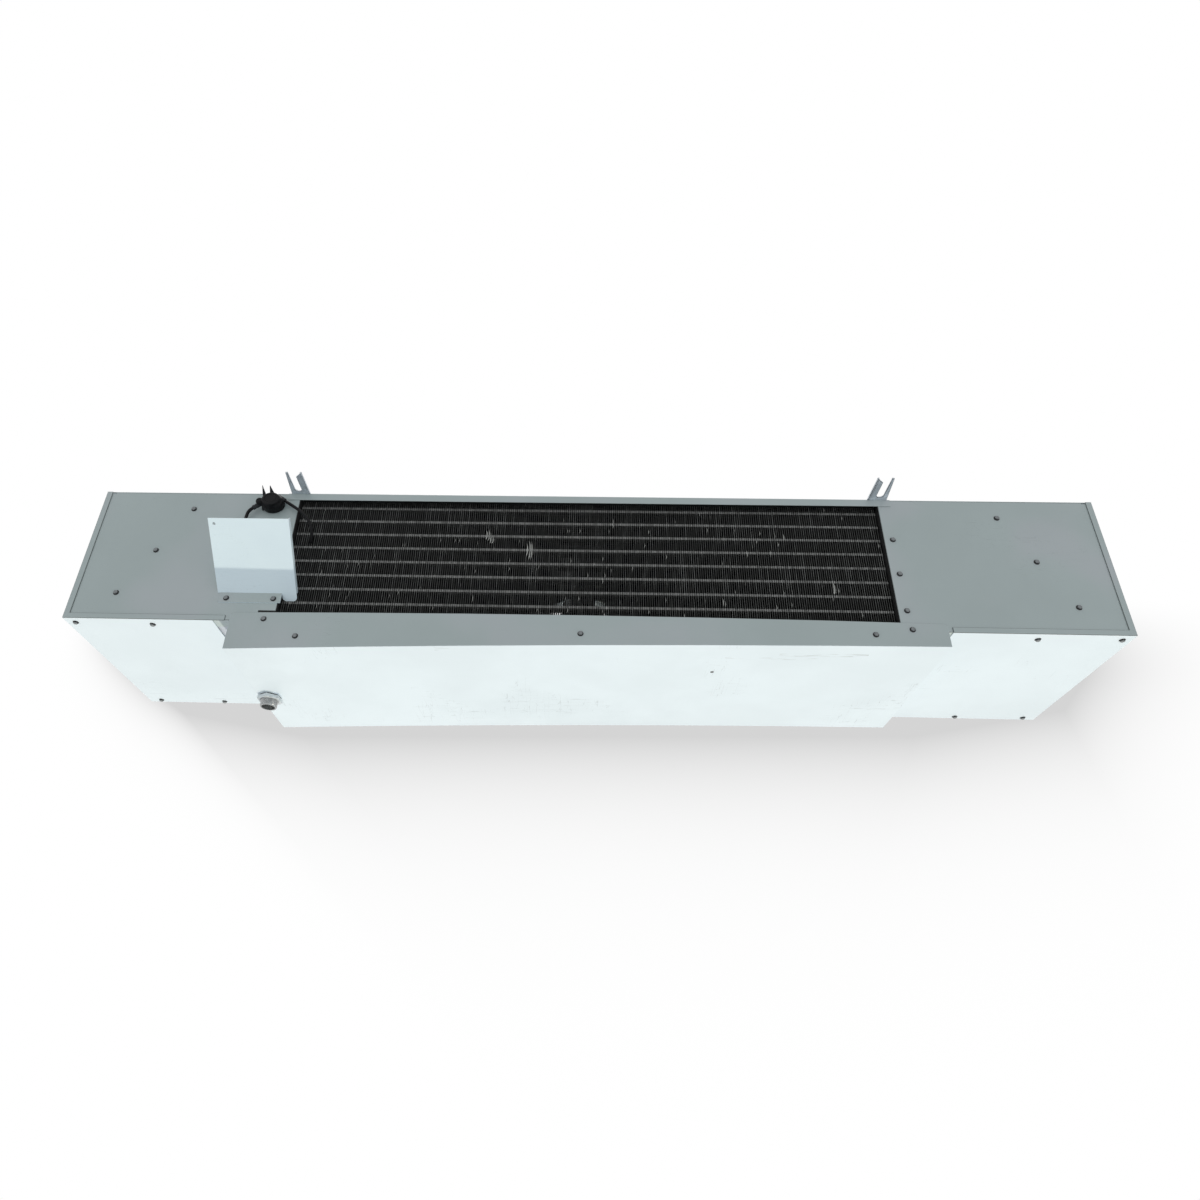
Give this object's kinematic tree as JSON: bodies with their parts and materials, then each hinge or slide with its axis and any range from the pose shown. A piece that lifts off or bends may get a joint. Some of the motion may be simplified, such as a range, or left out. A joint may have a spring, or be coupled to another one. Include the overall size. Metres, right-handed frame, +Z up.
{
  "type": "low velocity evaporator",
  "caption": "Ceiling-hung low velocity unit cooler: finned coil between two closed end bays, axial fans behind it, sloping drain pan below and forked hangers on top.",
  "frame": {"origin": "centre of the plane in which the two hangers meet the ceiling", "axes": "+X along the cabinet, to the right as seen from the coil face; +Y from the coil face to the fan face; +Z up"},
  "size_m": [1.524, 0.4173, 0.3011],
  "materials": {
    "white_paint": "white baked enamel on steel sheet, lightly scuffed",
    "grey_paint": "light grey textured enamel on steel sheet",
    "galvanised_steel": "galvanised sheet steel",
    "tube_sheet_metal": "plain aluminium sheet",
    "fin_stock": "dark coated aluminium fin stock",
    "copper": "dull drawn copper",
    "brass": "machined brass",
    "rubber": "black moulded rubber",
    "zinc": "zinc plated steel, dulled",
    "black_moulding": "black moulded thermoset",
    "stat_bracket_metal": "dark oxidised steel clip",
    "lead_jacket": "black lead jacket",
    "fan_aluminium": "stamped aluminium",
    "shaft_steel": "ground steel",
    "motor_paint": "black stoved paint on the motor shell",
    "guard_wire": "bright plated wire"
  },
  "bodies": {
    "cabinet": {"coil_fins": "fin_stock", "coil_lead": "lead_jacket", "coil_tubes": "copper", "cover_plate": "white_paint", "distributor": "brass", "distributor_leads": "copper", "drain_gasket": "rubber", "drain_locknut": "zinc", "drain_pan": "white_paint", "drain_stub": "zinc", "expansion_valve": "brass", "fan_guard_left": "guard_wire", "fan_guard_middle": "guard_wire", "fan_guard_right": "guard_wire", "fan_motor_left": "motor_paint", "fan_motor_middle": "motor_paint", "fan_motor_right": "motor_paint", "fan_panel": "grey_paint", "floor_screws": "zinc", "hairpin_bends": "copper", "hanger_bolts": "zinc", "lead_grommet": "rubber", "left_base_plate": "grey_paint", "left_brace": "galvanised_steel", "left_end_cover": "white_paint", "left_front_panel": "grey_paint", "left_hanger": "galvanised_steel", "left_rear_panel": "grey_paint", "left_tube_sheet": "tube_sheet_metal", "line_grommets": "rubber", "lip_screws": "zinc", "lip_stiffener": "galvanised_steel", "liquid_line": "copper", "motor_bracket_left": "galvanised_steel", "motor_bracket_middle": "galvanised_steel", "motor_bracket_right": "galvanised_steel", "panel_lead": "lead_jacket", "panel_screws": "zinc", "plate_screws": "zinc", "rear_screws": "zinc", "return_bends": "copper", "right_base_plate": "grey_paint", "right_brace": "galvanised_steel", "right_end_cover": "white_paint", "right_front_panel": "grey_paint", "right_hanger": "galvanised_steel", "right_rear_panel": "grey_paint", "right_tube_sheet": "tube_sheet_metal", "suction_header": "copper", "suction_line": "copper", "terminal_block": "black_moulding", "thermostat": "black_moulding", "thermostat_bracket": "stat_bracket_metal", "top_panel": "grey_paint"},
    "fan_left": {"fan_blade_left": "fan_aluminium", "fan_shaft_left": "shaft_steel"},
    "fan_middle": {"fan_blade_middle": "fan_aluminium", "fan_shaft_middle": "shaft_steel"},
    "fan_right": {"fan_blade_right": "fan_aluminium", "fan_shaft_right": "shaft_steel"}
  },
  "joints": [
    {"name": "fan_spin_left", "type": "hinge", "parent": "cabinet", "child": "fan_left", "pos_m": [-0.30188, 0.116, -0.12475], "axis": [0, 1, 0], "continuous": true},
    {"name": "fan_spin_middle", "type": "hinge", "parent": "cabinet", "child": "fan_middle", "pos_m": [-0.00445, 0.116, -0.12475], "axis": [0, 1, 0], "continuous": true},
    {"name": "fan_spin_right", "type": "hinge", "parent": "cabinet", "child": "fan_right", "pos_m": [0.29298, 0.116, -0.12475], "axis": [0, 1, 0], "continuous": true}
  ]
}
